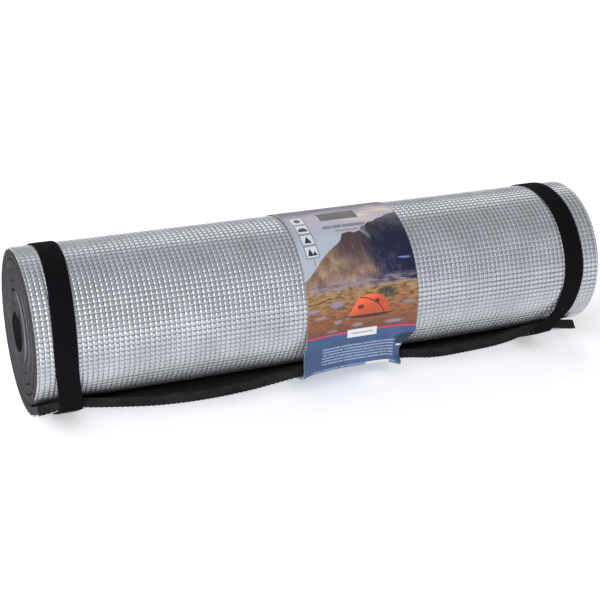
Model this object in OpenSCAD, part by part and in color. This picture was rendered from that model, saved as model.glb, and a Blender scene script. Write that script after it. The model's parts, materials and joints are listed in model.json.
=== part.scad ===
// Rolled closed-cell foam sleeping pad. A foam mat with a reflective film on
// its outer face is rolled up and held by two sewn elastic straps and a
// printed paper sleeve.
//
// Units are millimetres. X runs along the roll, -Y is the front, Z is up, and
// the origin is at the bottom centre of the bounding box.
//
// The mat is a spiral. It is measured in turns from its root, the point at the
// bottom of the roll where the free end leaves. Turns above 0 run up the back,
// over the top and inwards. Turns below 0 are the free end at the front.

/* [Mat] */
// Width of the mat, which is the length of the roll
mat_width = 600; // [400:10:800]
// Length of the mat when it is rolled out
mat_length = 1800; // [1200:10:2200]
// Thickness of the foam
foam_t = 9.6; // [5:0.1:15]
// Thickness of the reflective film
film_t = 0.25; // [0.15:0.05:0.5]

/* [Roll] */
// Radius of the hollow at the inner end of the mat
core_r = 16; // [12:1:40]
// Gap between one turn and the next
turn_gap = 0.35; // [0.2:0.05:1.5]
// Length of the free end at the front
flap_length = 63; // [30:1:100]
// How far the tip of the free end stands off the roll
flap_lift = 4; // [0:0.1:10]

/* [Straps] */
// Width of each elastic strap
strap_width = 22; // [15:1:50]
// Thickness of the elastic
strap_t = 1.3; // [0.8:0.1:3]
// Distance from the left end of the roll to the middle of the left strap
left_strap_inset = 28; // [16:1:120]
// Distance from the right end of the roll to the middle of the right strap
right_strap_inset = 32; // [16:1:120]
// Length of the sewn overlap at the back of each strap
strap_lap = 28; // [16:1:50]
// Gap between the mat and what is wrapped around it
wrap_gap = 0.3; // [0.2:0.05:1]

/* [Stitches] */
// Stitches in each row across a strap
stitch_count = 6; // [3:1:10]
// Length of one stitch
stitch_length = 2.2; // [1:0.1:3]
// Thickness of the thread
thread_t = 0.7; // [0.4:0.1:1]
// Distance from each row of stitches to the end of the overlap
stitch_margin = 5; // [3:0.5:7]

/* [Paper sleeve] */
// Width of the sleeve along the roll
sleeve_width = 120; // [60:5:250]
// How far the middle of the sleeve is to the right of the middle of the roll
sleeve_offset = 26; // [-80:1:80]
// Thickness of the paper
paper_t = 0.35; // [0.2:0.05:0.6]
// Length of the glued overlap at the back of the sleeve
sleeve_lap = 22; // [12:1:40]
// Width of the band of glue in the overlap
glue_band = 12; // [6:1:20]
// Thickness of the glue
glue_t = 0.15; // [0.1:0.05:0.3]

/* [Labels] */
// Width of the size label, along the roll
size_label_width = 32; // [15:1:50]
// Height of the size label
size_label_height = 9; // [6:1:14]
// Height of the middle of the size label above the edge of the free end
size_label_rise = 36; // [30:1:40]
// Width of the barcode label, along the roll
barcode_label_width = 30; // [15:1:50]
// Height of the barcode label
barcode_label_height = 20; // [10:1:24]
// How far the barcode label is from the middle of the sleeve, to the right
barcode_label_shift = 22; // [0:1:22]
// Thickness of the label paper
label_t = 0.2; // [0.1:0.05:0.3]

/* [Hidden] */

STEPS = 48;        // straight facets in one turn of the spiral
ROOT_ANGLE = -90;  // where the free end leaves the roll, from +Y towards +Z
BACK_ANGLE = 0;    // where the straps are sewn and the sleeve is glued

// The mat's spiral. The length of the rolled mat sets the number of turns.
mat_t = foam_t + film_t;
pitch = mat_t + turn_gap;
inner_mid_r = core_r + mat_t / 2;
rolled_length = mat_length - flap_length;
turns = (sqrt(pow(inner_mid_r, 2) + pitch * rolled_length / PI) - inner_mid_r) / pitch;
roll_r = core_r + mat_t + pitch * turns;
flap_turns = flap_length / (2 * PI * (roll_r - mat_t / 2));

function angle_at(t) = ROOT_ANGLE + 360 * t;
function turns_at(angle) = (angle - ROOT_ANGLE) / 360;
function lift_at(t) = t < 0 ? flap_lift * pow(t / flap_turns, 2) : 0;
function radius_at(t) = roll_r - pitch * t + lift_at(t);
function on_spiral(t, depth) = (radius_at(t) - depth) * [cos(angle_at(t)), sin(angle_at(t))];

// Positions along the mat from the tip of the free end to its inner end.
first_step = ceil(-flap_turns * STEPS);
last_step = floor(turns * STEPS);
mat_turns = [-flap_turns, for (i = [first_step:last_step]) i / STEPS, turns];

// The outline of what is wrapped around the mat, without its clearance.
outer_turns = [for (t = mat_turns) if (t <= 1) t];
outer_points = [for (t = outer_turns) on_spiral(t, 0)];

// The roll stands on its straps, and it is centred between front and back.
back_reach = max([for (p = outer_points) p[0]]) + wrap_gap + 2 * strap_t;
front_reach = -min([for (p = outer_points) p[0]]) + wrap_gap + strap_t;
roll_y = (front_reach - back_reach) / 2;
roll_z = roll_r + wrap_gap + strap_t;

// The wraps run straight from the front of the roll to the tip of the free end.
// The lean is the angle of that flat panel from upright, towards the back.
tip = on_spiral(-flap_turns, 0);
panel_lean = min([for (t = outer_turns) if (t > 0) let (p = on_spiral(t, 0) - tip) atan2(p[0], p[1])]);

left_strap_x = left_strap_inset - mat_width / 2;
right_strap_x = mat_width / 2 - right_strap_inset;
sleeve_face = wrap_gap + paper_t;
lap_r = radius_at(turns_at(BACK_ANGLE)) + wrap_gap;

// The barcode label starts at the tip of the free end and runs underneath.
barcode_angle = angle_at(-flap_turns) + barcode_label_height / lap_r * 90 / PI;

// Places a section that is drawn in the YZ plane at x and extrudes it along X.
module along_x(x, width) {
    translate([x - width / 2, roll_y, roll_z])
        rotate([90, 0, 90])
            linear_extrude(width)
                children();
}

// Section of one layer of the mat between two depths below its outer face.
module spiral_layer(depth, thickness) {
    polygon([
        for (t = mat_turns) on_spiral(t, depth),
        for (i = [len(mat_turns) - 1:-1:0]) on_spiral(mat_turns[i], depth + thickness)
    ]);
}

// Section of a band pulled tight around the roll and its free end.
module wrap(gap, thickness) {
    difference() {
        offset(delta = gap + thickness) hull() polygon(outer_points);
        offset(delta = gap) hull() polygon(outer_points);
    }
}

// The part of a band that lies within a given length around an angle.
module wrap_patch(gap, thickness, angle, length) {
    half_angle = length / lap_r * 90 / PI;
    reach = 2 * roll_r;
    intersection() {
        wrap(gap, thickness);
        polygon([
            [0, 0],
            for (a = [angle - half_angle, angle + half_angle]) reach * [cos(a), sin(a)]
        ]);
    }
}

module foam_mat() {
    color([0.16, 0.16, 0.17])
        along_x(0, mat_width)
            spiral_layer(film_t, foam_t);
}

module reflective_film() {
    color([0.72, 0.75, 0.79])
        along_x(0, mat_width)
            spiral_layer(0, film_t);
}

// Stitches in two rows across the overlap, half sunk in the elastic.
module stitches(strap_x) {
    spacing = strap_width / stitch_count;
    row_angle = (strap_lap / 2 - stitch_margin) / lap_r * 180 / PI;
    for (angle = [-row_angle, row_angle], i = [0:stitch_count - 1]) {
        translate([strap_x + (i - (stitch_count - 1) / 2) * spacing, roll_y, roll_z])
            rotate([angle, 0, 0])
                translate([0, lap_r + 2 * strap_t - pitch * angle / 360, 0])
                    cube([stitch_length, thread_t, thread_t], center = true);
    }
}

module strap(strap_x) {
    color([0.05, 0.05, 0.06])
        difference() {
            along_x(strap_x, strap_width) {
                wrap(wrap_gap, strap_t);
                wrap_patch(wrap_gap + strap_t, strap_t, BACK_ANGLE, strap_lap);
            }
            stitches(strap_x);
        }
}

module left_strap() {
    strap(left_strap_x);
}

module left_strap_stitching() {
    color([0.1, 0.1, 0.11]) stitches(left_strap_x);
}

module right_strap() {
    strap(right_strap_x);
}

module right_strap_stitching() {
    color([0.1, 0.1, 0.11]) stitches(right_strap_x);
}

// Section of the band of glue between the two ends of the sleeve.
module glue_section() {
    wrap_patch(sleeve_face, glue_t, BACK_ANGLE, glue_band);
}

module paper_sleeve() {
    color([0.45, 0.5, 0.6])
        along_x(sleeve_offset, sleeve_width)
            difference() {
                union() {
                    wrap(wrap_gap, paper_t);
                    wrap_patch(sleeve_face, glue_t + paper_t, BACK_ANGLE, sleeve_lap);
                }
                glue_section();
            }
}

module sleeve_glue() {
    color([0.85, 0.8, 0.65])
        along_x(sleeve_offset, sleeve_width)
            glue_section();
}

// The size label lies on the flat panel above the edge of the free end.
module size_label() {
    color("white")
        along_x(sleeve_offset, size_label_width)
            translate(tip)
                rotate(-panel_lean)
                    translate([-sleeve_face - label_t, size_label_rise - size_label_height / 2])
                        square([label_t, size_label_height]);
}

// The barcode label lies under the free end, with its upper edge at the tip.
module barcode_label() {
    color("white")
        along_x(sleeve_offset + barcode_label_shift, barcode_label_width)
            wrap_patch(sleeve_face, label_t, barcode_angle, barcode_label_height);
}

foam_mat();
reflective_film();
left_strap();
left_strap_stitching();
right_strap();
right_strap_stitching();
paper_sleeve();
sleeve_glue();
size_label();
barcode_label();
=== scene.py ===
"""A rolled foam sleeping pad with its elastic straps and paper sleeve, around its CAD frame.

Lengths are in metres. X runs along the roll, -Y is the front and Z is up.
"""

import json
import math

import bpy
import numpy as np
from bpy.props import FloatProperty, FloatVectorProperty, IntProperty, PointerProperty
from mathutils import Matrix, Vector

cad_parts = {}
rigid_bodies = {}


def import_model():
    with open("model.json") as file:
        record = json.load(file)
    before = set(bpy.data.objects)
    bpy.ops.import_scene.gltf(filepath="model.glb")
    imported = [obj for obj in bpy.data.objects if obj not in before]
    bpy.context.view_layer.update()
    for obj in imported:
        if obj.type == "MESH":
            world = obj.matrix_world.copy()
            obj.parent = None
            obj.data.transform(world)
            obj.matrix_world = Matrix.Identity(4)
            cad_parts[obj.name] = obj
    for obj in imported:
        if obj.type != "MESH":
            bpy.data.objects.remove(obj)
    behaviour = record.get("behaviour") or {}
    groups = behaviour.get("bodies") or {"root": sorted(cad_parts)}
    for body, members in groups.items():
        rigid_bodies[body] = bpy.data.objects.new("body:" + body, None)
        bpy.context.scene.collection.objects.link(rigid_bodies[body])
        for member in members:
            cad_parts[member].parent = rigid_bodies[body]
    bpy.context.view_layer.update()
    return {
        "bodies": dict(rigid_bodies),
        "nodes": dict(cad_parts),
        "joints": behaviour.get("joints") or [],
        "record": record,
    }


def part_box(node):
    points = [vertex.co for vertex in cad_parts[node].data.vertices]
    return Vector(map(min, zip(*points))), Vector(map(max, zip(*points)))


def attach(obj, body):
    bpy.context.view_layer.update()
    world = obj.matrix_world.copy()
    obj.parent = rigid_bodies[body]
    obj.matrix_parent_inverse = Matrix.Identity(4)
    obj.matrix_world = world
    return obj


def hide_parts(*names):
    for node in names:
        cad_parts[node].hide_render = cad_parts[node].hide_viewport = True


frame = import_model()

bl_info = {
    "name": "Rolled sleeping pad",
    "version": (1, 0, 0),
    "blender": (4, 5, 0),
    "location": "View3D > Sidebar > Sleeping pad",
    "description": "Builds a rolled foam sleeping pad with its straps and its paper sleeve",
    "category": "Add Mesh",
}

MM = 0.001

# How far the tip of the free end stands off the roll, in mm, at places along the roll, in mm. The
# straps pinch it, the sleeve holds it, and it bulges between them.
FLAP_LIFT = (
    (-320, 8), (-300, 7), (-269, 3.8), (-240, 8.5), (-185, 16), (-95, 16.5), (-55, 12.5),
    (-15, 8.3), (30, 7.5), (80, 9.6), (104, 13.5), (150, 14), (200, 10.5), (224, 5.5), (240, 3.6),
    (265, 4), (320, 4.5),
)
# How far the mat is out of line towards the left end, in mm, at places along it, in turns.
TELESCOPE = (
    (-0.2, 0), (1.9, 0), (2.9, 0.3), (3.5, 0.4), (3.65, 0.9), (4.3, 1), (4.45, 1.7), (5.6, 2.2),
)
# How far the mat stops short of the right end, in mm, at places along it, in turns.
SHORT = ((-0.2, 9), (-0.13, 8), (0, 6), (0.25, 3), (0.5, 0.5), (0.7, 0), (5.6, 0))
# Where the foam is squashed and leaves a gap inside a turn, in mm, at places along it, in turns.
SQUASH = (
    (-0.2, 0), (-0.05, 0.3), (0.05, 0.9), (0.3, 0.2), (0.8, 0), (0.95, 0.9), (1.15, 0.3), (1.7, 0),
    (2, 0.6), (2.3, 0), (3, 0.2), (3.25, 1.3), (3.6, 0.9), (3.8, 0), (5.6, 0),
)
# How far each strap strays to the right, in mm, at shares of the way round from the back, under
# the roll, up the front and over the top.
STRAY = {
    "left": (
        (-0.05, 0), (0.03, 0), (0.25, 3), (0.38, 3), (0.5, -1.2), (0.75, 3.5), (0.97, 0), (1.05, 0),
    ),
    "right": (
        (-0.05, 0), (0.03, 0), (0.25, -18), (0.36, -28), (0.385, -27), (0.41, -17), (0.435, -6),
        (0.46, -1.5), (0.5, 1.2), (0.6, 1), (0.75, -1), (0.97, 0), (1.05, 0),
    ),
}

# The directions that a band around the roll faces, from the back, under the roll, up the front and
# over the top.
FACING = -np.linspace(0, 2 * math.pi, 1441)
# The lines of the waffle end a little past the place where the free end covers the film, in turns.
WAFFLE_END = 0.88

# How far the sleeve slides each way, and how far the free end draws in its right and left edges.
SLEEVE_TRAVEL = 10 * MM
DRAWN_RIGHT = 15 * MM
DRAWN_LEFT = 3 * MM

# How many lines the meshes have across and along. The foam's second number is for each turn.
FOAM_LINES = (61, 96)
INNER_FILM_LINES = 240
STRAP_LINES = 420
SLEEVE_LINES = (61, 280)
MIDDLE_LINE = SLEEVE_LINES[0] // 2
# How far the film lies under the outer face on the inner turns, and how far its cut edges reach
# into the foam.
INNER_FILM_DEPTH = 0.1 * MM
CUT_REACH = 0.5 * MM
# Room beyond the gap between the mat and the sleeve, and between the paper and what is stuck on it.
SLEEVE_ROOM = 0.35 * MM
GLUE_ROOM = 0.02 * MM
LABEL_ROOM = 0.03 * MM
# The length over which the upper end of an overlap climbs onto the lower one.
STRAP_CLIMB = 5 * MM
SLEEVE_CLIMB = 4 * MM
# The distance from one cord of the elastic to the next, and from one row of its weave to the next.
CORD_PITCH = 1.1 * MM
WEFT_PITCH = 1.4 * MM
# The angles past which an edge stays sharp.
SHEET_CREASE = math.radians(40)
THREAD_CREASE = math.radians(50)

# The direction that the top of the picture on the sleeve faces.
PICTURE_TOP = math.radians(-285)

# The room's brightness from the horizon up, and from the left to the right, as stops of
# (place, tone).
ROOM_UP = ((0, 0.85), (1, 0.62), (0.3, 0.56), (0.7, 0.6))
ROOM_ACROSS = ((0, 3.2), (1, 0.1), (0.22, 2.4), (0.45, 0.95), (0.72, 0.62))
ROOM_STRENGTH = 0.8
BACKDROP = (0.95, 0.95, 0.96)
# Each area light's name, place, size and power.
LIGHTS = (("key", (-1.7, -1.4, 0.75), 1.1, 18), ("back", (0.9, 1.6, 1.6), 1.4, 10))
CAMERA_PLACE = (-0.5303, -1.2459, 0.5745)
CAMERA_TURN = (math.radians(69.56), 0, math.radians(-22.7))
CAMERA_LENS = 83.8
FLOOR_SIZE = 30


class MatSettings(bpy.types.PropertyGroup):
    """Sizes of the foam mat and its film."""

    length: FloatProperty(
        name="Mat length", description="Length of the mat when it is rolled out",
        default=1.8, min=1.2, max=2.2, unit="LENGTH",
    )
    foam_thickness: FloatProperty(
        name="Foam thickness", description="Thickness of the foam",
        default=9.6 * MM, min=5 * MM, max=15 * MM, unit="LENGTH",
    )
    film_thickness: FloatProperty(
        name="Film thickness", description="Thickness of the reflective film",
        default=0.25 * MM, min=0.1 * MM, max=0.5 * MM, unit="LENGTH",
    )
    core_radius: FloatProperty(
        name="Core radius", description="Radius of the hollow at the inner end of the mat",
        default=16 * MM, min=12 * MM, max=40 * MM, unit="LENGTH",
    )
    turn_gap: FloatProperty(
        name="Turn gap", description="Gap between one turn and the next",
        default=0.35 * MM, min=0.2 * MM, max=1.5 * MM, unit="LENGTH",
    )
    flap_length: FloatProperty(
        name="Free end", description="Length of the free end that isn't pressed on the roll",
        default=63 * MM, min=30 * MM, max=100 * MM, unit="LENGTH",
    )
    tip_flick: FloatProperty(
        name="Tip flick", description="How far the last of the free end flicks outwards",
        default=2.8 * MM, min=0, max=3 * MM, unit="LENGTH",
    )
    tip_skew: FloatProperty(
        name="Tip skew", description="How much shorter the free end is at its right corner",
        default=0.2, min=0, max=0.4, subtype="FACTOR",
    )
    cell: FloatProperty(
        name="Waffle cell", description="Distance from one groove of the waffle to the next",
        default=5 * MM, min=4.9 * MM, max=10 * MM, unit="LENGTH",
    )
    groove_depth: FloatProperty(
        name="Groove depth", description="Depth of the grooves of the waffle",
        default=0.9 * MM, min=0, max=1 * MM, unit="LENGTH",
    )
    groove_share: FloatProperty(
        name="Groove share", description="Share of a cell that each flank of a groove takes",
        default=0.21, min=0.05, max=0.4, subtype="FACTOR",
    )


class BandSettings(bpy.types.PropertyGroup):
    """Sizes of the straps and of the paper sleeve."""

    gap: FloatProperty(
        name="Gap", description="Gap between the mat and what is wrapped around it",
        default=0.3 * MM, min=0.2 * MM, max=1 * MM, unit="LENGTH",
    )
    strap_thickness: FloatProperty(
        name="Strap thickness", description="Thickness of the elastic",
        default=1.3 * MM, min=0.8 * MM, max=3 * MM, unit="LENGTH",
    )
    strap_lap: FloatProperty(
        name="Strap overlap", description="Length of the sewn overlap of each strap",
        default=28 * MM, min=16 * MM, max=50 * MM, unit="LENGTH",
    )
    stitch_margin: FloatProperty(
        name="Stitch margin", description="From the end of the sewn overlap to its row of stitches",
        default=5 * MM, min=3 * MM, max=7 * MM, unit="LENGTH",
    )
    stitch_count: IntProperty(
        name="Stitches", description="Stitches in each row", default=6, min=3, max=10,
    )
    stitch_length: FloatProperty(
        name="Stitch length", description="Length of thread that shows in each stitch",
        default=2.2 * MM, min=1 * MM, max=4 * MM, unit="LENGTH",
    )
    thread_thickness: FloatProperty(
        name="Thread thickness", description="Thickness of the sewing thread",
        default=0.7 * MM, min=0.3 * MM, max=1 * MM, unit="LENGTH",
    )
    paper_thickness: FloatProperty(
        name="Paper thickness", description="Thickness of the sleeve",
        default=0.35 * MM, min=0.2 * MM, max=0.6 * MM, unit="LENGTH",
    )
    sleeve_lap: FloatProperty(
        name="Sleeve overlap", description="Length of the glued overlap of the sleeve",
        default=22 * MM, min=14 * MM, max=40 * MM, unit="LENGTH",
    )
    glue_band: FloatProperty(
        name="Glue band", description="Length of the glue in the sleeve's overlap",
        default=12 * MM, min=6 * MM, max=12 * MM, unit="LENGTH",
    )
    glue_thickness: FloatProperty(
        name="Glue thickness", description="Thickness of the glue in the sleeve's overlap",
        default=0.15 * MM, min=0.1 * MM, max=0.3 * MM, unit="LENGTH",
    )
    label_thickness: FloatProperty(
        name="Label thickness", description="Thickness of the two labels",
        default=0.2 * MM, min=0.1 * MM, max=0.3 * MM, unit="LENGTH",
    )


class FinishSettings(bpy.types.PropertyGroup):
    """Colours of the materials."""

    foam: FloatVectorProperty(
        name="Foam", description="Colour of the foam", subtype="COLOR",
        default=(0.017, 0.017, 0.0185),
    )
    film: FloatVectorProperty(
        name="Film", description="Colour of the film", subtype="COLOR",
        default=(0.56, 0.58, 0.605),
    )
    elastic: FloatVectorProperty(
        name="Elastic", description="Colour of the straps", subtype="COLOR",
        default=(0.0042, 0.0042, 0.0055),
    )
    paper: FloatVectorProperty(
        name="Paper", description="Colour of unprinted paper", subtype="COLOR",
        default=(0.8, 0.8, 0.79),
    )
    tent: FloatVectorProperty(
        name="Tent", description="Colour of the printed tent", subtype="COLOR",
        default=(0.76, 0.12, 0.035),
    )
    panel: FloatVectorProperty(
        name="Panel", description="Colour of the printed panel under the picture", subtype="COLOR",
        default=(0.036, 0.08, 0.178),
    )


def through(knots, place):
    """Values at places on a smooth curve through knots of (place, value)."""
    at, value = np.array(knots, float).T
    slope = np.gradient(value, at)
    i = np.clip(np.searchsorted(at, place) - 1, 0, len(at) - 2)
    step = at[i + 1] - at[i]
    s = np.clip((place - at[i]) / step, 0, 1)
    start = value[i] * (1 + 2 * s) * (1 - s) ** 2 + value[i + 1] * s**2 * (3 - 2 * s)
    return start + step * (slope[i] * s * (1 - s) ** 2 - slope[i + 1] * s**2 * (1 - s))


def smooth_step(low, high, value):
    """0 below low, 1 above high, and a smooth rise between them."""
    s = np.clip((value - low) / (high - low), 0, 1)
    return s * s * (3 - 2 * s)


def hump(low, high, value):
    """0 outside low and high, and a smooth hump of height 1 between them."""
    middle = (low + high) / 2
    return smooth_step(low, middle, value) - smooth_step(middle, high, value)


class Roll:
    """The rolled mat's shape.

    A place along the mat is given in turns from its root, the point at the bottom of the roll
    where the free end leaves it. Turns above 0 run up the back, over the top and inwards. Turns
    below 0 are the free end at the front.
    """

    def __init__(self, mat):
        low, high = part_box("reflective_film")
        self.left, self.right = low.x, high.x
        self.thickness = mat.foam_thickness + mat.film_thickness
        self.pitch = self.thickness + mat.turn_gap
        middle = mat.core_radius + self.thickness / 2
        rolled = mat.length - mat.flap_length
        self.turns = (math.sqrt(middle**2 + self.pitch * rolled / math.pi) - middle) / self.pitch
        self.radius = mat.core_radius + self.thickness + self.pitch * self.turns
        self.flap = mat.flap_length / (2 * math.pi * (self.radius - self.thickness / 2))
        self.y = high.y - (self.radius - self.pitch / 4)
        self.z = low.z + self.radius
        self.flick, self.skew = mat.tip_flick, mat.tip_skew

    def length_to(self, turn):
        """Length along the film from the root to a turn."""
        return 2 * math.pi * (self.radius * turn - self.pitch * turn**2 / 2)

    def turn_at(self, length):
        """The turn at a length along the film from the root."""
        return (self.radius - np.sqrt(self.radius**2 - self.pitch * length / math.pi)) / self.pitch

    def point(self, share, turn, depth):
        """Points of the mat, at a share of its width from the left and a depth below its film."""
        width = self.right - self.left - through(SHORT, turn) * MM
        x = self.left + share * width - through(TELESCOPE, turn) * MM
        return self.section(x, turn, depth)

    def section(self, x, turn, depth):
        """Points of the mat at x, at a turn and at a depth below its film."""
        share = np.clip(-turn / self.flap, 0, 1)
        tip = through(FLAP_LIFT, x / MM) * MM - self.flick
        lift = tip * share**2.5 + self.flick * share**9
        radius = self.radius - self.pitch * turn + lift - depth
        shorter = self.skew * smooth_step(0.25, 0.3, x) * (turn < 0)
        angle = 2 * math.pi * turn * (1 - shorter) - math.pi / 2
        y = self.y + radius * np.cos(angle)
        z = self.z + radius * np.sin(angle)
        return np.stack([x + 0 * y, y, z], axis=-1)


def tight_outline(roll, places, gap, stray=((0, 0), (1, 0))):
    """A band pulled tight around the roll and its free end at all of the x places.

    It runs from the back under the roll, up the front and over the top, and strays along X by
    knots of (share of the way, mm). Returns the length along it and its points in Y and Z.
    """
    turn = np.linspace(-roll.flap, 1, 600)
    aside = through(stray, np.mod(0.25 - turn, 1)) * MM
    points = np.concatenate([roll.section(x + aside, turn, 0)[:, 1:] for x in places])
    normal = np.stack([np.cos(FACING), np.sin(FACING)], axis=-1)
    outline = points[np.argmax(points @ normal.T, axis=0)] + gap * normal
    length = np.concatenate([[0], np.cumsum(np.linalg.norm(np.diff(outline, axis=0), axis=1))])
    return length, outline


def along_outline(at, outline, length, rise):
    """Points in Y and Z at lengths along a tight outline, risen off it."""
    place = np.mod(length, at[-1])
    facing = np.interp(place, at, FACING)
    y = np.interp(place, at, outline[:, 0]) + rise * np.cos(facing)
    z = np.interp(place, at, outline[:, 1]) + rise * np.sin(facing)
    return y, z


class Sleeve:
    """The paper sleeve's shape, a loop pulled tight around the roll with loose edges."""

    def __init__(self, roll, bands):
        low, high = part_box("paper_sleeve")
        self.left, self.width = low.x, high.x - low.x
        travel, gap = SLEEVE_TRAVEL + 0.5 * MM, bands.gap + SLEEVE_ROOM
        outlines = []
        for share in np.linspace(0, 1, SLEEVE_LINES[0]):
            x = self.left + share * self.width
            reach = travel + DRAWN_RIGHT * smooth_step(0.7, 1, share)
            outlines.append(tight_outline(roll, np.linspace(x - reach, x + travel, 8), gap))
        self.lengths = np.array([length for length, _ in outlines])
        self.outlines = np.array([outline for _, outline in outlines])
        self.whole = self.lengths[MIDDLE_LINE, -1]

    def looseness(self, share, length):
        """How far the paper stands off the tight outline."""
        way = length / self.whole
        left = np.clip(1 - share / 0.1, 0, 1) ** 2
        right = np.clip(1 - (1 - share) / 0.14, 0, 1) ** 1.5
        curl = 1.8 * MM * left * hump(0.62, 0.8, way)
        flare = 3.4 * MM * left * hump(0.345, 0.45, way)
        dent = -5.6 * MM * right * hump(0.384, 0.436, way)
        ridge = 1.6 * MM * right * hump(0.372, 0.402, way)
        wave = np.sin(9 * share + 14 * way) * np.sin(31 * way - 5 * share)
        crumple = 0.22 * MM * (1 + wave) * hump(0.05, 0.95, way)
        return curl + flare + dent + ridge + crumple

    def lie(self, share, length, rise):
        """Points of something that lies on the sleeve's outline and rises off it."""
        points = np.zeros((len(share), 3))
        for column in np.unique(share):
            here = share == column
            spot = column * (len(self.lengths) - 1)
            i = min(int(spot), len(self.lengths) - 2)
            at = self.lengths[i] + (spot - i) * (self.lengths[i + 1] - self.lengths[i])
            outline = self.outlines[i] + (spot - i) * (self.outlines[i + 1] - self.outlines[i])
            off = rise[here] + self.looseness(column, length[here])
            y, z = along_outline(at, outline, length[here] * at[-1] / self.whole, off)
            x = self.left + column * self.width - self.drawn_in(column, length[here])
            points[here] = np.stack([x, y, z], axis=-1)
        return points

    def drawn_in(self, share, length):
        """How far the paper is drawn to the left where its right edge buckles over the free end."""
        way = length / self.whole
        near_tip = smooth_step(0.2, 0.36, way) - smooth_step(0.425, 0.458, way)
        right = DRAWN_RIGHT * smooth_step(0.7, 1, share)
        left = DRAWN_LEFT * (1 - smooth_step(0, 0.2, share))
        return near_tip * (right + left)

    def length_at_height(self, height):
        """Length along the outline to a height on its front."""
        front = slice(len(FACING) // 4, 3 * len(FACING) // 4)
        heights = self.outlines[MIDDLE_LINE, front, 1]
        return np.interp(height, heights, self.lengths[MIDDLE_LINE, front])

    def length_at_facing(self, facing):
        """Length along the outline to where it faces a direction."""
        return np.interp(-facing, -FACING, self.lengths[MIDDLE_LINE])


def deselect_all():
    bpy.ops.object.select_all(action="DESELECT")


def join(pieces, name):
    """Joins the pieces into the first one and names it."""
    deselect_all()
    for piece in pieces:
        piece.select_set(True)
    bpy.context.view_layer.objects.active = pieces[0]
    bpy.ops.object.join()
    pieces[0].name = pieces[0].data.name = name
    return pieces[0]


def stand_for(piece, body, node):
    """Makes the piece ride on a body in place of a CAD node."""
    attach(piece, body)
    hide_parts(node)


def add_sheet(name, across, along, form, faces):
    """A grid that form bends into shape.

    across and along are the places of its lines in each direction. form turns the places and a
    face number into points. faces is 1 for a bare sheet, and 2 for one with an outer face 0, an
    inner face 1 and a rim.
    """
    deselect_all()
    bpy.ops.mesh.primitive_grid_add(
        x_subdivisions=len(across) - 1, y_subdivisions=len(along) - 1, size=1
    )
    piece = bpy.context.object
    piece.name = piece.data.name = name
    if faces == 2:
        wall = piece.modifiers.new("Wall", "SOLIDIFY")
        wall.offset = 0
        bpy.ops.object.modifier_apply(modifier=wall.name)
    u, v = (grid.ravel() for grid in np.meshgrid(across, along))
    points = np.concatenate([form(u, v, face) for face in range(faces)])
    piece.data.vertices.foreach_set("co", points.ravel())
    map_prints(piece, across, along, faces)
    piece.data.update()
    bpy.ops.object.shade_smooth_by_angle(angle=SHEET_CREASE)
    return piece


def map_prints(piece, across, along, faces):
    """Gives every corner its place on the flat sheet, from 0 to 1 each way, as the UV map."""
    spans = [(np.asarray(at) - at[0]) / (at[-1] - at[0]) for at in (across, along)]
    flat = np.stack([grid.ravel() for grid in np.meshgrid(*spans)], axis=-1)
    corner = np.zeros(len(piece.data.loops), np.int32)
    piece.data.loops.foreach_get("vertex_index", corner)
    piece.data.uv_layers.active.data.foreach_set("uv", np.tile(flat, (faces, 1))[corner].ravel())


def paint_faces(piece, materials, choice):
    """Gives the piece its materials, and each face the one that choice names by number."""
    for material in materials:
        piece.data.materials.append(material)
    piece.data.polygons.foreach_set("material_index", np.asarray(choice, np.int32))
    piece.data.update()


def ink(red, green, blue):
    """The linear colour of an ink from its sRGB values, from 0 to 255."""
    shares = [value / 255 for value in (red, green, blue)]
    return tuple(s / 12.92 if s < 0.04 else ((s + 0.055) / 1.055) ** 2.4 for s in shares)


class Nodes:
    """A node tree of numbers, masks and colours."""

    def __init__(self, tree):
        self.nodes, self.links = tree.nodes, tree.links

    def put(self, socket, value):
        """Links a socket to another, or gives it a number or colour."""
        if isinstance(value, bpy.types.NodeSocket):
            self.links.new(value, socket)
        elif socket.type == "RGBA":
            socket.default_value = (*value, 1)
        else:
            socket.default_value = value

    def node(self, kind, inputs, **settings):
        """Adds a node. inputs gives its sockets by name or number."""
        node = self.nodes.new(kind)
        for name, value in settings.items():
            setattr(node, name, value)
        for key, value in inputs.items():
            self.put(node.inputs[key], value)
        return node

    def split(self, vector):
        return self.node("ShaderNodeSeparateXYZ", {0: vector}).outputs

    def ramp(self, value, stops):
        """A colour that changes with a value through stops of (value, colour).

        The first two stops are the outer ones.
        """
        node = self.node("ShaderNodeValToRGB", {0: value})
        elements = node.color_ramp.elements
        for i, (place, color) in enumerate(stops):
            element = elements[i] if i < 2 else elements.new(place)
            element.position = place
            element.color = (*color, 1)
        return node.outputs[0]


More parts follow.
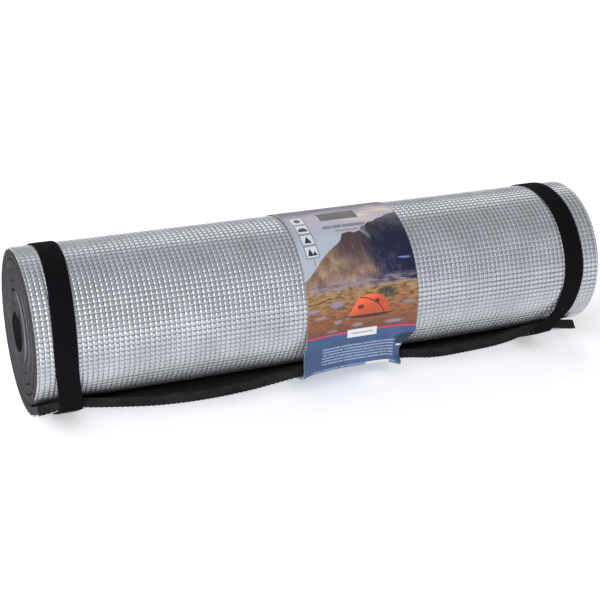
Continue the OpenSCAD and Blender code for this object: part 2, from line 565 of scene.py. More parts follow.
class Finish(Nodes):
    """A procedural material."""

    def __init__(self, name, roughness, specular=0.5, metallic=0.0, glow=0.0):
        self.material = bpy.data.materials.new(name)
        self.material.use_nodes = True
        super().__init__(self.material.node_tree)
        self.shader = self.nodes["Principled BSDF"]
        for socket, value in (
            ("Roughness", roughness), ("Specular IOR Level", specular), ("Metallic", metallic),
            ("Emission Strength", glow),
        ):
            self.shader.inputs[socket].default_value = value

    def math(self, operation, *values):
        return self.node("ShaderNodeMath", dict(enumerate(values)), operation=operation).outputs[0]

    def scale(self, value, factor, plus=0.0):
        return self.math("MULTIPLY_ADD", value, factor, plus)

    def step(self, value, low, high):
        """A mask that rises smoothly from 0 at low to 1 at high."""
        inputs = {0: value, 1: low, 2: high}
        if low > high:
            inputs = {0: value, 1: high, 2: low, 3: 1.0, 4: 0.0}
        return self.node("ShaderNodeMapRange", inputs, interpolation_type="SMOOTHSTEP").outputs[0]

    def mix(self, mask, under, over):
        """A colour with another one over it where the mask is 1."""
        node = self.node("ShaderNodeMix", {0: mask, 6: under, 7: over}, data_type="RGBA")
        return node.outputs[2]

    def objects(self):
        return self.node("ShaderNodeTexCoord", {}).outputs["Object"]

    def flat(self):
        """The places on the flat sheet, from 0 to 1."""
        return self.split(self.node("ShaderNodeTexCoord", {}).outputs["UV"])

    def vector(self, x, y, z=0.0):
        return self.node("ShaderNodeCombineXYZ", {0: x, 1: y, 2: z}).outputs[0]

    def noise(self, vector, scale, detail=2.0, roughness=0.5):
        inputs = {"Vector": vector, "Scale": scale, "Detail": detail, "Roughness": roughness}
        return self.node("ShaderNodeTexNoise", inputs).outputs[0]

    def cells(self, vector, scale):
        """Distance to the middle of a cell of a foam."""
        return self.node("ShaderNodeTexVoronoi", {"Vector": vector, "Scale": scale}).outputs[0]

    def bump(self, height, strength, distance):
        inputs = {"Strength": strength, "Distance": distance, "Height": height}
        self.put(self.shader.inputs["Normal"], self.node("ShaderNodeBump", inputs).outputs[0])

    def wear(self, color, roughness=None):
        """Gives the shader its colour and, if it changes, its roughness."""
        self.put(self.shader.inputs["Base Color"], color)
        if roughness is not None:
            self.put(self.shader.inputs["Roughness"], roughness)
        return self.material


def shade(color, factor):
    return tuple(factor * channel for channel in color)


def foam_material(color):
    """Closed-cell foam, with its cells cut open."""
    foam = Finish("Foam", 0.9, specular=0.18)
    place = foam.objects()
    grain = foam.noise(place, 520, 4, 0.75)
    patch = foam.noise(place, 45, 3, 0.6)
    cell = foam.cells(place, 1100)
    tone = foam.math("ADD", foam.scale(grain, 0.6), foam.scale(patch, 0.4))
    foam.bump(foam.math("ADD", cell, grain), 0.55, 0.5 * MM)
    colors = foam.ramp(tone, [(0.37, shade(color, 0.35)), (0.63, shade(color, 2.3)), (0.5, color)])
    return foam.wear(colors, foam.step(patch, -0.6, 1.1))


def film_material(color):
    """Metal on plastic film, creased and brighter on the pads, duller in the grooves and darkened
    there with painted shade.
    """
    film = Finish("Film", 0.3, metallic=0.6)
    place = film.objects()
    groove = film.node("ShaderNodeAttribute", {}, attribute_name="groove").outputs["Fac"]
    # The grooves are painted darker with painted shade, and given a rougher finish.
    down = film.step(groove, 0.25, 1.0)
    crease = film.noise(place, 420, 4, 0.65)
    smear = film.noise(place, 28, 3, 0.6)
    film.bump(film.math("ADD", crease, film.scale(film.noise(place, 1300), 0.2)), 0.4, 0.3 * MM)
    pads = film.mix(film.step(smear, 0.35, 0.7), shade(color, 0.9), shade(color, 1.08))
    rough = film.math("ADD", film.scale(down, 0.08, 0.17), film.scale(smear, 0.12))
    return film.wear(film.mix(down, pads, shade(color, 0.68)), rough)


def elastic_material(color, width, length):
    """Woven elastic, with cords along it and a fine cross weave."""
    elastic = Finish("Elastic", 0.9, specular=0.08)
    u, v, _ = elastic.flat()
    cord = elastic.math("SINE", elastic.scale(u, 2 * math.pi * width / CORD_PITCH))
    shift = elastic.math("SIGN", cord)
    weft = elastic.math("SINE", elastic.scale(v, 2 * math.pi * length / WEFT_PITCH))
    weave = elastic.math("MULTIPLY", weft, shift)
    fuzz = elastic.noise(elastic.objects(), 1400, 3, 0.7)
    height = elastic.math("ADD", elastic.scale(cord, 0.6), elastic.scale(weave, 0.4))
    elastic.bump(elastic.math("ADD", height, fuzz), 0.5, 0.25 * MM)
    # The raised cords and weave are painted lighter and the hollows between them darker: painted
    # highlight and painted shade.
    painted_weave_light = elastic.step(elastic.math("ADD", height, fuzz), -0.6, 1.6)
    colors = elastic.mix(painted_weave_light, shade(color, 0.6), shade(color, 1.7))
    return elastic.wear(colors, elastic.scale(fuzz, 0.2, 0.78))


def thread_material(color):
    """Twisted sewing thread."""
    thread = Finish("Thread", 0.6, specular=0.3)
    x, _, z = thread.split(thread.objects())
    twist = thread.math("SINE", thread.scale(thread.math("ADD", x, z), 9000))
    thread.bump(twist, 0.6, 0.08 * MM)
    # The crests of the twist are painted lighter and its hollows darker: painted highlight and
    # painted shade.
    return thread.wear(thread.mix(thread.step(twist, -1, 1), shade(color, 2), shade(color, 5)))


def paper_material(color):
    """Bare paper with its fibres."""
    paper = Finish("Paper", 0.75, specular=0.3)
    place = paper.objects()
    fibre = paper.noise(place, 700, 4, 0.7)
    paper.bump(fibre, 0.2, 0.1 * MM)
    tone = paper.noise(place, 60, 3, 0.5)
    colors = paper.mix(paper.step(tone, 0.3, 0.7), shade(color, 0.93), color)
    return paper.wear(colors, paper.scale(fibre, 0.2, 0.62))


def glue_material():
    """Dried glue, milky and uneven."""
    glue = Finish("Glue", 0.35, specular=0.5)
    place = glue.objects()
    blot = glue.noise(place, 160, 3, 0.6)
    glue.bump(blot, 0.5, 0.1 * MM)
    colors = glue.mix(glue.step(blot, 0.35, 0.65), ink(226, 214, 180), ink(240, 236, 222))
    return glue.wear(colors, glue.scale(blot, 0.4, 0.15))


class Picture(Finish):
    """A printed material that is drawn in mm across the sheet and mm down it."""

    def __init__(self, name, width, length, top, gloss=0.36):
        super().__init__(name, gloss, specular=0.45)
        u, v, _ = self.flat()
        self.x = self.scale(u, width / MM)
        self.down = self.scale(v, -length / MM, top / MM)
        self.color = (0.8, 0.8, 0.8)

    def lay(self, color, *masks):
        """Prints a colour over the picture where all of the masks are 1."""
        self.color = self.mix(self.both(*masks), self.color, color)

    def both(self, *masks):
        whole = masks[0]
        for mask in masks[1:]:
            whole = self.math("MULTIPLY", whole, mask)
        return whole

    def block(self, left, right, top, bottom, soft=0.35):
        """A mask of a rectangle."""
        off = []
        for value, low, high in ((self.x, left, right), (self.down, top, bottom)):
            away = self.math("ABSOLUTE", self.scale(value, 1, -(low + high) / 2))
            off.append(self.math("SUBTRACT", away, (high - low) / 2))
        return self.step(self.math("MAXIMUM", *off), soft, -soft)

    def oval(self, x, down, wide, high, soft=0.1):
        """A mask of an oval, by its middle and its half sizes."""
        across = self.scale(self.x, 1 / wide, -x / wide)
        along = self.scale(self.down, 1 / high, -down / high)
        far = self.math("MULTIPLY_ADD", along, along, self.math("MULTIPLY", across, across))
        return self.step(far, (1 + soft) ** 2, (1 - soft) ** 2)

    def grain(self, across, along, seed, detail=4.0):
        """Noise from 0 to 1 with features of a size in mm across and along."""
        vector = self.vector(self.scale(self.x, 1 / across), self.scale(self.down, 1 / along), seed)
        return self.noise(vector, 1.0, detail, 0.6)

    def under_ridge(self, points, rough, seed):
        """A mask of all below a ridge through points of (mm across, mm down)."""
        line = [(x / 120, (down / 200,) * 3) for x, down in points]
        ridge = self.ramp(self.scale(self.x, 1 / 120), line)
        crags = self.scale(self.grain(6, 40, seed, 6), rough, -rough / 2)
        below = self.math("SUBTRACT", self.down, self.scale(ridge, 200))
        return self.step(self.math("ADD", below, crags), -0.6, 0.6)

    def scribble(self, left, right, top, bottom, pitch, thick, seed, word=2.2):
        """A mask of rows of dashes of many lengths, in the place of small print."""
        row = self.scale(self.down, 1 / pitch, -top / pitch)
        number = self.math("FLOOR", row)
        part = self.math("ABSOLUTE", self.scale(self.math("FRACT", row), 1, -0.5))
        on_row = self.step(part, thick + 0.12, thick - 0.12)
        vector = self.vector(self.scale(self.x, 1 / word), self.scale(number, 7.3), seed)
        dashes = self.step(self.noise(vector, 1.0, 1.0), 0.36, 0.42)
        return self.both(on_row, dashes, self.block(left, right, top, bottom))


def print_material(colors, width, length, top):
    """The sleeve's picture of a camp below a mountain, and the blue panel under it."""
    art = Picture("Print", width, length, top)
    art.color = art.ramp(
        art.scale(art.down, 1 / 200),
        [
            (0.0, ink(130, 128, 138)), (0.035, ink(112, 108, 120)), (0.1, ink(136, 130, 146)),
            (0.15, ink(170, 160, 178)), (0.24, ink(188, 184, 196)), (0.34, ink(190, 200, 212)),
            (0.5, ink(184, 192, 204)),
        ],
    )
    cloud = art.step(art.grain(45, 5, 1), 0.42, 0.62)
    art.lay(ink(228, 208, 176), art.oval(98, 34, 34, 13, 0.7), cloud)
    veil = art.step(art.grain(30, 7, 2), 0.5, 0.7)
    art.lay(ink(200, 184, 200), art.block(0, 120, 14, 62, 8), veil)
    haze = art.step(art.grain(60, 16, 23), 0.38, 0.66)
    art.lay(ink(158, 152, 168), art.step(art.down, 4, -16), haze)
    for left, right in ((14, 56), (64, 106)):
        art.lay(ink(92, 90, 100), art.scribble(left, right, -96, -36, 4.4, 0.2, left, 3.4))
    draw_mountains(art)
    draw_ground(art)
    draw_tent(art, colors.tent)
    draw_header(art)
    art.lay(ink(208, 60, 110), art.block(-1, 121, 166.4, 168.2, 0.4))
    uneven = art.step(art.grain(40, 25, 20), 0.3, 0.7)
    panel = art.mix(uneven, colors.panel, shade(colors.panel, 1.5))
    art.lay(panel, art.step(art.down, 167.8, 168.6))
    art.lay(ink(160, 172, 204), art.scribble(18, 106, 181, 201, 3.3, 0.2, 3, 1.6))
    art.lay(ink(146, 160, 196), art.scribble(10, 112, 204, 232, 4.2, 0.16, 4, 2.4))
    art.lay(colors.panel, art.step(art.down, 262, 268))
    # The crease at the right edge: painted shade in its fold and a painted glint on its crest.
    art.lay(shade(colors.panel, 0.3), art.oval(116, 181, 13, 5.5, 0.5))
    art.lay(ink(232, 236, 244), art.oval(115, 187.5, 4, 0.9, 0.4))
    art.bump(art.noise(art.objects(), 260, 3, 0.5), 0.06, 0.3 * MM)
    return art.wear(art.color, art.scale(art.grain(25, 25, 30), 0.16, 0.26))


def draw_mountains(art):
    """A tan mountain, and a dark one behind its right side."""
    tan = art.under_ridge(
        [(0, 108), (8, 102), (13, 98), (20, 90), (27, 85), (33, 80), (42, 75), (48, 70), (52, 63.5),
         (60, 61), (66, 62.5), (71, 61), (75, 66), (80, 76), (90, 90), (120, 112)], 4, 5,
    )
    slope = art.grain(10, 12, 6, 8)
    rock = art.ramp(
        slope, [(0.3, ink(96, 76, 68)), (0.72, ink(196, 164, 134)), (0.5, ink(150, 122, 102))]
    )
    dusk = art.mix(art.oval(62, 70, 24, 22, 0.6), rock, ink(84, 66, 64))
    streaks = art.both(art.step(art.grain(2.4, 14, 7, 5), 0.46, 0.8), art.oval(62, 98, 22, 22, 0.8))
    art.lay(art.mix(streaks, dusk, ink(132, 118, 132)), tan)
    dark = art.under_ridge(
        [(0, 68), (64, 68), (70, 64), (75, 56), (81, 54.5), (85, 51), (92, 50), (97, 46.5),
         (104, 45), (110, 41), (116, 40), (120, 38)], 4, 8,
    )
    fading = art.math("ADD", art.x, art.scale(art.grain(12, 30, 19, 6), 40, -20))
    faces = art.grain(9, 16, 9, 6)
    slate = art.ramp(
        faces, [(0.32, ink(24, 25, 36)), (0.72, ink(92, 88, 104)), (0.5, ink(48, 47, 60))]
    )
    deep = art.mix(art.oval(112, 92, 34, 26, 0.5), slate, ink(30, 33, 62))
    hazy = art.both(art.step(art.grain(5, 9, 10, 6), 0.4, 0.8), art.block(62, 104, 88, 120, 10))
    art.lay(art.mix(hazy, deep, ink(88, 84, 116)), dark, art.step(fading, 58, 84))
    art.lay(ink(120, 144, 200), art.oval(110, 96, 6, 0.9, 0.5))


def draw_ground(art):
    """Brown ground with tufts, mist at the foot of the mountains, and flat rocks."""
    ground = art.under_ridge([(0, 116), (40, 119), (80, 120), (120, 118)], 4, 11)
    near = art.ramp(
        art.scale(art.down, 1 / 200),
        [(0.585, ink(176, 148, 104)), (0.83, ink(120, 72, 56)), (0.65, ink(168, 130, 84)),
         (0.74, ink(156, 96, 58))],
    )
    tufts = art.step(art.grain(10, 2.4, 12, 6), 0.44, 0.62)
    soil = art.mix(tufts, near, ink(104, 70, 44))
    red = art.both(art.step(art.grain(16, 4, 13, 5), 0.56, 0.68), art.step(art.x, 80, 100))
    soil = art.mix(red, soil, ink(176, 84, 50))
    art.lay(soil, ground)
    mist = art.step(art.grain(22, 3, 14, 5), 0.4, 0.62)
    art.lay(ink(150, 142, 158), art.block(4, 118, 112, 121, 3.5), mist)
    for x, down, wide, high in (
        (31, 135, 7, 3.2), (6, 138, 6, 1.8), (14, 146, 6, 1.4), (33, 154, 4, 2), (44, 151, 3, 1.6),
        (54, 160, 5, 2), (27, 163, 5, 1.2), (94, 161, 9, 1.8), (110, 141, 7, 1.2),
    ):
        rough = art.step(art.grain(3, 1.4, 18 + x, 3), 0.3, 0.5)
        art.lay(ink(88, 70, 66), art.oval(x + 0.5, down + high * 0.8, wide, high * 0.5, 0.5))
        art.lay(ink(148, 138, 154), art.oval(x, down, wide, high, 0.45), rough)


def draw_tent(art, color):
    """A dome tent with a seam and two windows, its shadow, and a bush behind it."""
    bush = art.step(art.grain(3, 3, 17), 0.3, 0.5)
    art.lay(ink(62, 64, 56), art.oval(86, 129, 9, 5, 0.6), bush)
    art.lay(ink(58, 36, 34), art.oval(66, 149.5, 25, 3.2, 0.3))
    frame = [(0, 151), (42.5, 150), (47, 143), (53, 133.5), (58, 130.5), (66, 129), (75, 129.5),
             (81, 132), (86, 138), (91, 150), (120, 151)]
    dome = art.both(art.under_ridge(frame, 0.6, 21), art.step(art.down, 150, 149.2))
    light = art.step(art.math("MULTIPLY_ADD", art.x, 0.5, art.down), 160, 178)
    art.lay(art.mix(light, shade(color, 1.25), shade(color, 0.72)), dome)
    inner = art.oval(52, 156, 30.8, 24.3, 0.02)
    art.lay(ink(96, 30, 26), art.oval(52, 156, 32, 25.5, 0.02), dome, art.scale(inner, -1, 1))
    art.lay(ink(112, 34, 30), art.oval(57, 141, 3.4, 2.2, 0.3))
    art.lay(ink(92, 28, 28), art.oval(74.5, 136.5, 2.8, 2, 0.3))


def draw_header(art):
    """A plain bar, dashes in the place of a title, and four signs in frames."""
    bar = art.mix(art.step(art.down, 30, 40), ink(66, 60, 66), ink(62, 68, 60))
    art.lay(bar, art.block(38, 79, 25.5, 41))
    art.lay(ink(132, 132, 142), art.scribble(35, 82, 48.5, 55.5, 7, 0.3, 15, 2.2))
    art.lay(ink(134, 142, 136), art.scribble(47, 71, 57, 60, 3, 0.26, 16, 1.8))
    for top in (28.5, 43, 57.5, 72):
        art.lay(ink(72, 74, 84), art.block(7, 21, top, top + 13.6, 0.25))
        art.lay(ink(226, 229, 235), art.block(7.7, 20.3, top + 0.7, top + 12.9, 0.25))
    art.lay(ink(120, 92, 70), art.block(13.8, 14.5, 86, 94, 0.25))
    shape = ink(52, 54, 62)
    art.lay(shape, art.oval(14, 35.3, 3.4, 3.4))
    art.lay(shape, art.oval(14, 53, 5, 5.4), art.step(art.down, 53.2, 52.8))
    for x, tip, foot, lean in ((14, 60, 68.5, 0.45), (12.4, 75, 83, 0.42), (17, 78, 83, 0.5)):
        side = art.math("ABSOLUTE", art.scale(art.x, 1, -x))
        edge = art.math("SUBTRACT", art.scale(art.down, lean, -tip * lean), side)
        above_foot = art.step(art.down, foot + 0.2, foot - 0.2)
        art.lay(shape, art.step(edge, -0.2, 0.2), above_foot)


def label_material(name, color, width, length, bars):
    """A glossy white label with small print, or with bars."""
    label = Picture(name, width, length, length, 0.28)
    label.color = label.mix(label.step(label.grain(8, 8, 1), 0.3, 0.7), shade(color, 0.95), color)
    wide, high = width / MM, length / MM
    if bars:
        line = label.math("FLOOR", label.scale(label.x, 2.6))
        pick = label.node("ShaderNodeTexWhiteNoise", {"W": line}, noise_dimensions="1D").outputs[0]
        shown = label.block(3, wide - 3, 3, high - 6, 0.15)
        label.lay(ink(24, 24, 26), label.step(pick, 0.5, 0.52), shown)
        label.lay(ink(70, 70, 74), label.scribble(4, wide - 4, high - 5, high - 2, 3, 0.25, 2, 1.2))
    else:
        label.lay(ink(140, 142, 146), label.scribble(4, wide - 4, 3, high - 3, 3, 0.2, 2, 0.8))
    return label.wear(label.color, label.scale(label.grain(6, 6, 3), 0.15, 0.22))


def film_grid(roll, mat, sleeve):
    """Places of the waffle's lines across and along the outer turn, and how deep each one lies.

    The mat is cut through the middle of a cell on every side. The first and last line across, and
    the last one along, are the cut edges. The sleeve always hides the cells in its middle, so
    those are flat.
    """
    flank = mat.groove_share
    cells = round((roll.right - roll.left) / mat.cell)
    hidden_low, hidden_high = sleeve[0].x + SLEEVE_TRAVEL, sleeve[1].x - SLEEVE_TRAVEL
    across, groove = [0, 0], [0, 0]
    for line in range(cells):
        x = roll.left + (line + 0.5) * mat.cell
        flat = hidden_low < x - mat.cell and x + mat.cell < hidden_high
        parts = ((0, 0),) if flat else ((-flank, 0), (0, 1), (flank, 0))
        across += [line + 0.5 + part for part, _ in parts]
        groove += [deep for _, deep in parts]
    across = np.array(across + [cells, cells]) / cells
    groove = np.array(groove + [0, 0])
    tip = roll.length_to(-roll.flap)
    rows = int((roll.length_to(WAFFLE_END) - tip) / mat.cell)
    lines = [(row + 0.5 + part, part == 0) for row in range(rows) for part in (-flank, 0, flank)]
    lines = [(0, False), (0, False)] + lines + [(rows, False)]
    along = roll.turn_at(tip + np.array([line for line, _ in lines]) * mat.cell)[::-1]
    return across, groove, along, np.array([deep for _, deep in lines], int)[::-1]


class PAD_OT_mat(bpy.types.Operator):
    """Adds the foam mat and the reflective film on its outer face"""

    bl_idname = "pad.mat"
    bl_label = "Foam mat and film"

    def execute(self, context):
        mat, finish = context.scene.pad_mat, context.scene.pad_finish
        roll = Roll(mat)
        foam = foam_material(finish.foam)
        self.add_foam(mat, roll, foam)
        self.add_film(mat, roll, film_material(finish.film), foam)
        return {"FINISHED"}

    def add_foam(self, mat, roll, material):
        skin = mat.groove_depth + mat.film_thickness

        def form(share, turn, face):
            squash = through(SQUASH, turn) * MM * (1 - 4 * share * (1 - share)) ** 4
            return roll.point(share, turn, roll.thickness - squash if face else skin + 0 * turn)

        lines = int(FOAM_LINES[1] * (roll.turns + roll.flap))
        along = np.linspace(roll.turns, -roll.flap, lines)
        foam = add_sheet("foam_pad", np.linspace(0, 1, FOAM_LINES[0]), along, form, 2)
        foam.data.materials.append(material)
        stand_for(foam, "rolled_mat", "foam_mat")

    def add_film(self, mat, roll, silver, foam):
        across, groove_x, along, groove_v = film_grid(roll, mat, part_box("paper_sleeve"))
        columns, rows = len(across), len(along)
        grooved = (groove_x[None, :] | groove_v[:, None]).astype(float)
        depth = grooved * mat.groove_depth
        cut = mat.groove_depth + 2 * mat.film_thickness + CUT_REACH
        depth[:, [0, -1]] = cut
        depth[-1, :] = cut
        film = add_sheet(
            "film_outer", across, along, lambda u, v, face: roll.point(u, v, depth.ravel()), 1
        )
        film.data.attributes.new("groove", "FLOAT", "POINT").data.foreach_set(
            "value", grooved.ravel()
        )
        edge = np.zeros((rows - 1, columns - 1), int)
        edge[-1, :] = 1
        paint_faces(film, [silver, foam], edge.ravel())
        inside = add_sheet(
            "film_inner", np.array([0, 0.02, 0.98, 1]),
            np.linspace(roll.turns, along[0], INNER_FILM_LINES),
            lambda u, v, face: roll.point(u, v, INNER_FILM_DEPTH + 0 * v), 1,
        )
        inside.data.materials.append(silver)
        film = join([film, inside], "film_skin")
        stand_for(film, "rolled_mat", "reflective_film")


class PAD_OT_straps(bpy.types.Operator):
    """Adds the two elastic straps and the stitches that close them"""

    bl_idname = "pad.straps"
    bl_label = "Elastic straps"

    def execute(self, context):
        roll, bands = Roll(context.scene.pad_mat), context.scene.pad_bands
        finish = context.scene.pad_finish
        low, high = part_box("left_strap")
        length = tight_outline(roll, [low.x, high.x], bands.gap)[0][-1] + bands.strap_lap
        elastic = elastic_material(finish.elastic, high.x - low.x, length)
        thread = thread_material(finish.elastic)
        for side in ("left", "right"):
            self.add_strap(bands, roll, side, elastic)
            self.add_stitches(bands, roll, side, thread)
        return {"FINISHED"}

    def add_strap(self, bands, roll, side, material):
        low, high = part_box(f"{side}_strap")
        places = np.linspace(low.x, high.x, 5)
        at, outline = tight_outline(roll, places, bands.gap, STRAY[side])
        whole, lap, thick = at[-1], bands.strap_lap, bands.strap_thickness

        def form(across, length, face):
            on_top = smooth_step(whole - lap / 2 - STRAP_CLIMB, whole - lap / 2, length)
            edge = np.abs(2 * across - 1) ** 12
            middle = thick / 2 + on_top * thick
            half = thick / 2 * (1 - 0.6 * edge)
            y, z = along_outline(at, outline, length, middle + (half if face == 0 else -half))
            x = low.x + across * (high.x - low.x) + through(STRAY[side], length / whole) * MM
            return np.stack([x, y, z], axis=-1)

        across = np.array([0, 0.02, 0.05, 0.1, 0.3, 0.5, 0.7, 0.9, 0.95, 0.98, 1])
        along = np.linspace(-lap / 2, whole + lap / 2, STRAP_LINES)
        strap = add_sheet(f"{side}_elastic", across, along, form, 2)
        strap.data.materials.append(material)
        stand_for(strap, f"{side}_band", f"{side}_strap")

    def add_stitches(self, bands, roll, side, material):
        """Two rows of stitches across the overlap at the back, each the copy of one."""
        low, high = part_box(f"{side}_strap")
        one = self.add_stitch(bands, material)
        spacing = (high.x - low.x) / bands.stitch_count
        row = (bands.strap_lap / 2 - bands.stitch_margin) / roll.radius
        reach = roll.radius - roll.pitch / 4 + bands.gap + 2 * bands.strap_thickness
        stitches = []
        for tilt in (-row, row):
            for i in range(bands.stitch_count):
                x = (low.x + high.x) / 2 + (i - (bands.stitch_count - 1) / 2) * spacing
                stitch = one.copy()
                stitch.data = one.data.copy()
                bpy.context.collection.objects.link(stitch)
                lean = roll.pitch * tilt / (2 * math.pi)
                stitch.data.transform(
                    Matrix.Translation((x, roll.y, roll.z))
                    @ Matrix.Rotation(tilt, 4, "X")
                    @ Matrix.Translation((0, reach - lean, 0))
                )
                stitches.append(stitch)
        bpy.data.objects.remove(one)
        thread = join(stitches, f"{side}_thread")
        stand_for(thread, f"{side}_band", f"{side}_strap_stitching")

    def add_stitch(self, bands, material):
        """One stitch along X, an arch of thread with both ends down in the elastic."""
        radius, half = bands.thread_thickness / 2, bands.stitch_length / 2
        arch = [(-1, -1.2), (-0.85, -0.1), (-0.5, 0.35), (0, 0.5)]
        arch += [(-x, rise) for x, rise in arch[-2::-1]]
        points = [(x * half, rise * radius) for x, rise in arch]
        deselect_all()
        bpy.ops.mesh.primitive_circle_add(
            vertices=8, radius=radius, fill_type="NGON", rotation=(0, math.pi / 2, 0),
            location=(points[0][0], points[0][1], 0),
        )
        bpy.ops.object.transform_apply(location=True, rotation=True, scale=True)
        bpy.ops.object.mode_set(mode="EDIT")
        bpy.ops.mesh.select_all(action="SELECT")
        for start, end in zip(points, points[1:]):
            step = (end[0] - start[0], end[1] - start[1], 0)
            bpy.ops.mesh.extrude_region_move(TRANSFORM_OT_translate={"value": step})
        bpy.ops.mesh.select_all(action="SELECT")
        bpy.ops.mesh.normals_make_consistent(inside=False)
        bpy.ops.object.mode_set(mode="OBJECT")
        bpy.ops.object.shade_smooth_by_angle(angle=THREAD_CREASE)
        stitch = bpy.context.object
        stitch.data.materials.append(material)
        return stitch


class PAD_OT_sleeve(bpy.types.Operator):
    """Adds the printed paper sleeve, its glue and its two labels"""

    bl_idname = "pad.sleeve"
    bl_label = "Paper sleeve"

    def execute(self, context):
        bands, finish = context.scene.pad_bands, context.scene.pad_finish
        sleeve = Sleeve(Roll(context.scene.pad_mat), bands)
        lap = np.linspace(-bands.glue_band / 2, bands.glue_band / 2, 9)
        glue = self.stick_on(
            sleeve, bands, "glue_band", "sleeve_glue", "glue", (30, lap), GLUE_ROOM,
            bands.glue_thickness - 2 * GLUE_ROOM, glue_material(),
        )
        labels = [self.add_label(sleeve, bands, finish, kind) for kind in ("size", "barcode")]
        self.add_paper(sleeve, bands, finish, [glue, *labels])
        return {"FINISHED"}

    def add_paper(self, sleeve, bands, finish, on_it):
        lap, thick, whole = bands.sleeve_lap, bands.paper_thickness, sleeve.whole

        def form(share, length, face):
            on_top = smooth_step(whole - lap / 2 - SLEEVE_CLIMB, whole - lap / 2, length)
            rise = on_top * (thick + bands.glue_thickness) + (thick if face == 0 else 0)
            return sleeve.lie(share, length, rise)

        across = np.linspace(0, 1, SLEEVE_LINES[0])
        along = np.linspace(-lap / 2, whole + lap / 2, SLEEVE_LINES[1])
        piece = add_sheet("printed_sleeve", across, along, form, 2)
        top = sleeve.length_at_facing(PICTURE_TOP) + lap / 2
        art = print_material(finish, sleeve.width, whole + lap, top)
        outer = (len(across) - 1) * (len(along) - 1)
        bare = np.arange(len(piece.data.polygons)) >= outer
        paint_faces(piece, [art, paper_material(finish.paper)], bare)
        stand_for(piece, "sleeve", "paper_sleeve")

    def add_label(self, sleeve, bands, finish, kind):
        low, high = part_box(f"{kind}_label")
        start, end = (sleeve.length_at_height(height) for height in (low.z, high.z))
        name, bars = f"{kind.title()} label", kind == "barcode"
        material = label_material(name, finish.paper, high.x - low.x, end - start, bars)
        return self.stick_on(
            sleeve, bands, f"{kind}_sticker", f"{kind}_label", "label_paper",
            (24, np.linspace(start, end, 16)), LABEL_ROOM, bands.label_thickness, material,
        )

    def stick_on(self, sleeve, bands, name, node, slot, lines, room, thick, material):
        """A thin piece on the sleeve's outer face, as wide as its CAD node.

        lines gives the number of its lines across and the places of those along.
        """
        ends = [(corner.x - sleeve.left) / sleeve.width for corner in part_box(node)]
        inner = bands.paper_thickness + room

        def form(share, length, face):
            return sleeve.lie(share, length, inner + 0 * length + (0 if face else thick))

        piece = add_sheet(name, np.linspace(*ends, lines[0]), lines[1], form, 2)
        piece.data.materials.append(material)
        stand_for(piece, "sleeve", node)
        return piece


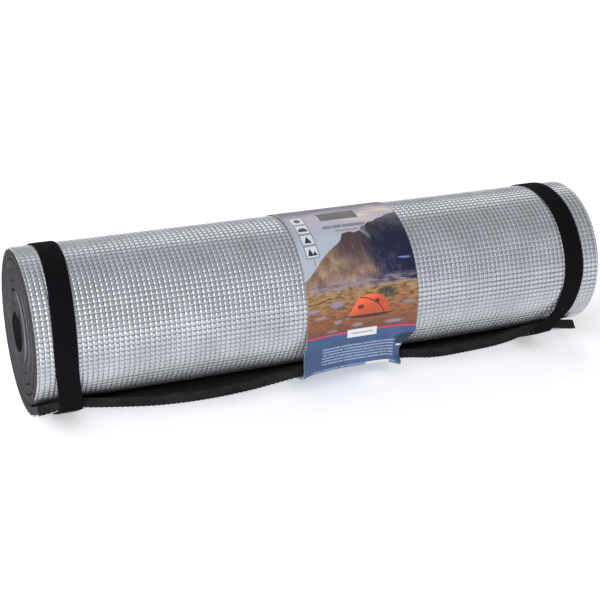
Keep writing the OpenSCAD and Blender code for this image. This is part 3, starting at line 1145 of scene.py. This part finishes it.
class PAD_OT_stage(bpy.types.Operator):
    """Adds the floor, the lights and the camera"""

    bl_idname = "pad.stage"
    bl_label = "Floor, lights and camera"

    def execute(self, context):
        context.scene.view_settings.view_transform = "Standard"
        deselect_all()
        bpy.ops.mesh.primitive_plane_add(size=FLOOR_SIZE)
        floor = context.object
        floor.name = "floor"
        finish = Finish("Floor", 0.8, specular=0.1, glow=0.42)
        tone = finish.noise(finish.objects(), 3)
        pale = finish.mix(tone, (0.9, 0.9, 0.9), (0.92, 0.92, 0.92))
        floor.data.materials.append(finish.wear(pale))
        self.add_room(context)
        self.add_lights(context)
        self.add_camera(context)
        return {"FINISHED"}

    def add_room(self, context):
        """A soft room, bright to the left and dim to the right, seen as a pale backdrop."""
        world = bpy.data.worlds.new("Room")
        context.scene.world = world
        world.use_nodes = True
        room = Nodes(world.node_tree)
        toward = room.node("ShaderNodeTexCoord", {}).outputs["Generated"]
        x, _, z = room.split(toward)
        from_left = room.node("ShaderNodeMapRange", {0: x, 1: -1}).outputs[0]
        up = self.add_tones(room, z, ROOM_UP)
        across = self.add_tones(room, from_left, ROOM_ACROSS)
        light = room.node("ShaderNodeVectorMath", {0: up, 1: across}, operation="MULTIPLY")
        lit = room.nodes["Background"]
        room.put(lit.inputs["Color"], light.outputs[0])
        room.put(lit.inputs["Strength"], ROOM_STRENGTH)
        backdrop = room.node("ShaderNodeBackground", {"Color": BACKDROP})
        by_camera = room.node("ShaderNodeLightPath", {}).outputs["Is Camera Ray"]
        shown = {0: by_camera, 1: lit.outputs[0], 2: backdrop.outputs[0]}
        seen = room.node("ShaderNodeMixShader", shown).outputs[0]
        room.put(room.nodes["World Output"].inputs["Surface"], seen)

    def add_tones(self, room, value, stops):
        """A ramp of slightly blue tones through stops of (place, tone)."""
        return room.ramp(value, [(place, (tone, tone, tone * 1.03)) for place, tone in stops])

    def add_lights(self, context):
        for name, place, size, power in LIGHTS:
            bpy.ops.object.light_add(type="AREA", location=place)
            light = context.object
            light.name = name
            light.data.size = size
            light.data.energy = power
            aim = -light.location.normalized()
            light.rotation_euler = aim.to_track_quat("-Z", "Y").to_euler()

    def add_camera(self, context):
        bpy.ops.object.camera_add(location=CAMERA_PLACE, rotation=CAMERA_TURN)
        context.scene.camera = context.object
        context.object.data.lens = CAMERA_LENS
        context.object.data.sensor_width = 36


class PAD_PT_panel(bpy.types.Panel):
    """Lists the pieces, their sizes and their colours"""

    bl_label = "Sleeping pad"
    bl_space_type = "VIEW_3D"
    bl_region_type = "UI"
    bl_category = "Sleeping pad"

    def draw(self, context):
        for group in GROUPS:
            box = self.layout.box()
            settings = getattr(context.scene, group)
            for name in settings.__annotations__:
                box.prop(settings, name)
        for operator in OPERATORS:
            self.layout.operator(operator.bl_idname)


OPERATORS = (PAD_OT_mat, PAD_OT_straps, PAD_OT_sleeve, PAD_OT_stage)
GROUPS = {"pad_mat": MatSettings, "pad_bands": BandSettings, "pad_finish": FinishSettings}
CLASSES = (*GROUPS.values(), *OPERATORS, PAD_PT_panel)


def register():
    for cls in CLASSES:
        bpy.utils.register_class(cls)
    for name, group in GROUPS.items():
        setattr(bpy.types.Scene, name, PointerProperty(type=group))


def unregister():
    for name in GROUPS:
        delattr(bpy.types.Scene, name)
    for cls in reversed(CLASSES):
        bpy.utils.unregister_class(cls)


def main():
    register()
    bpy.ops.pad.mat()
    bpy.ops.pad.straps()
    bpy.ops.pad.sleeve()
    bpy.ops.pad.stage()


if __name__ == "__main__":
    main()
